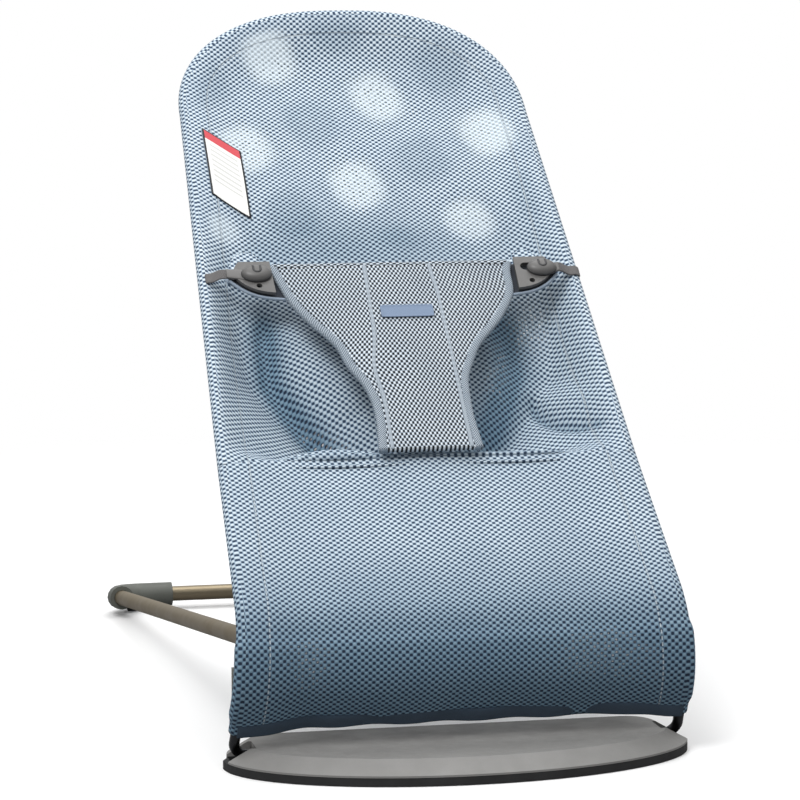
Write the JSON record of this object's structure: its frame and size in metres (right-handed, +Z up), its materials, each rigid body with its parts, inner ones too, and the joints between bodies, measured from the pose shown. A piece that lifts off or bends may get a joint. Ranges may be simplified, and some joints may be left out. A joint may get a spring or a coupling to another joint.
{
  "type": "bouncer seat",
  "caption": "Baby bouncer: mesh cover with harness on a sprung wire frame, moulded base plate in front, folding U-shaped tube leg behind.",
  "frame": {"origin": "centre of the footprint, on the floor", "axes": "+Z up, +Y to the rear towards the headrest and rear leg, +X to the occupant's left, seen from the front to the right"},
  "size_m": [0.3854, 0.7619, 0.558],
  "materials": {
    "plate_plastic": "fine moulded grain, satin",
    "sole_rubber": "matt non-slip rubber",
    "frame_wire": "dark coated spring steel",
    "leg_tube": "champagne satin lacquer",
    "sleeve_plastic": "matt moulded",
    "hardware_steel": "zinc plated",
    "mesh_fabric": "open warp-knit mesh",
    "harness_fabric": "thick spacer mesh with bound edges",
    "clip_plastic": "satin moulded",
    "strap_webbing": "woven tape",
    "label_fabric": "smooth printed tape",
    "tag_fabric": "woven satin tag"
  },
  "bodies": {
    "lower_frame": {"cross_rod": "frame_wire", "riser_wire_left": "frame_wire", "riser_wire_right": "frame_wire", "cover_front_panel": "mesh_fabric", "hinge_bracket_left": "hardware_steel", "hinge_bracket_right": "hardware_steel", "wire_clamp_left": "sleeve_plastic", "wire_clamp_right": "sleeve_plastic", "pivot_rivet_left": "hardware_steel", "pivot_rivet_right": "hardware_steel", "detent_spring_left": "hardware_steel", "detent_spring_right": "hardware_steel", "bracket_screw_left_1": "hardware_steel", "bracket_screw_left_2": "hardware_steel", "bracket_screw_right_1": "hardware_steel", "bracket_screw_right_2": "hardware_steel"},
    "base": {"base_plate": "plate_plastic", "base_sole": "sole_rubber", "rod_saddle_left": "sleeve_plastic", "rod_saddle_right": "sleeve_plastic", "saddle_screw_left_front": "hardware_steel", "saddle_screw_left_rear": "hardware_steel", "saddle_screw_right_front": "hardware_steel", "saddle_screw_right_rear": "hardware_steel"},
    "rear_leg": {"leg_hub_left": "sleeve_plastic", "leg_hub_right": "sleeve_plastic", "leg_tube_left": "leg_tube", "leg_tube_right": "leg_tube", "rear_crossbar": "leg_tube", "elbow_sleeve_left": "sleeve_plastic", "elbow_sleeve_right": "sleeve_plastic", "floor_pad_left": "sole_rubber", "floor_pad_right": "sole_rubber"},
    "seat": {"side_wire_left": "frame_wire", "side_wire_right": "frame_wire", "headrest_wire": "frame_wire", "cover_leg_panel": "mesh_fabric", "cover_back_panel": "mesh_fabric", "harness_panel": "harness_fabric", "harness_tag": "tag_fabric", "eye_plate_left": "clip_plastic", "eye_plate_right": "clip_plastic", "strap_left": "strap_webbing", "strap_right": "strap_webbing", "care_label": "label_fabric"},
    "toggle_left": {"toggle_left": "clip_plastic"},
    "toggle_right": {"toggle_right": "clip_plastic"}
  },
  "joints": [
    {"name": "base_tilt", "type": "hinge", "parent": "lower_frame", "child": "base", "pos_m": [0, -0.291, 0.0096], "axis": [1, 0, 0], "range_deg": [-5, 45]},
    {"name": "leg_fold", "type": "hinge", "parent": "lower_frame", "child": "rear_leg", "pos_m": [0, -0.299, 0.094], "axis": [1, 0, 0], "range_deg": [0, 46]},
    {"name": "seat_bounce", "type": "hinge", "parent": "lower_frame", "child": "seat", "pos_m": [0, -0.3245, 0.0911], "axis": [1, 0, 0], "range_deg": [-4, 3], "stiffness_Nm_per_rad": 160, "springref_deg": 0.86},
    {"name": "toggle_slide_left", "type": "slide", "parent": "seat", "child": "toggle_left", "axis": [1, 0, 0], "range_m": [0, 0.008]},
    {"name": "toggle_slide_right", "type": "slide", "parent": "seat", "child": "toggle_right", "axis": [-1, 0, 0], "range_m": [0, 0.008]}
  ]
}
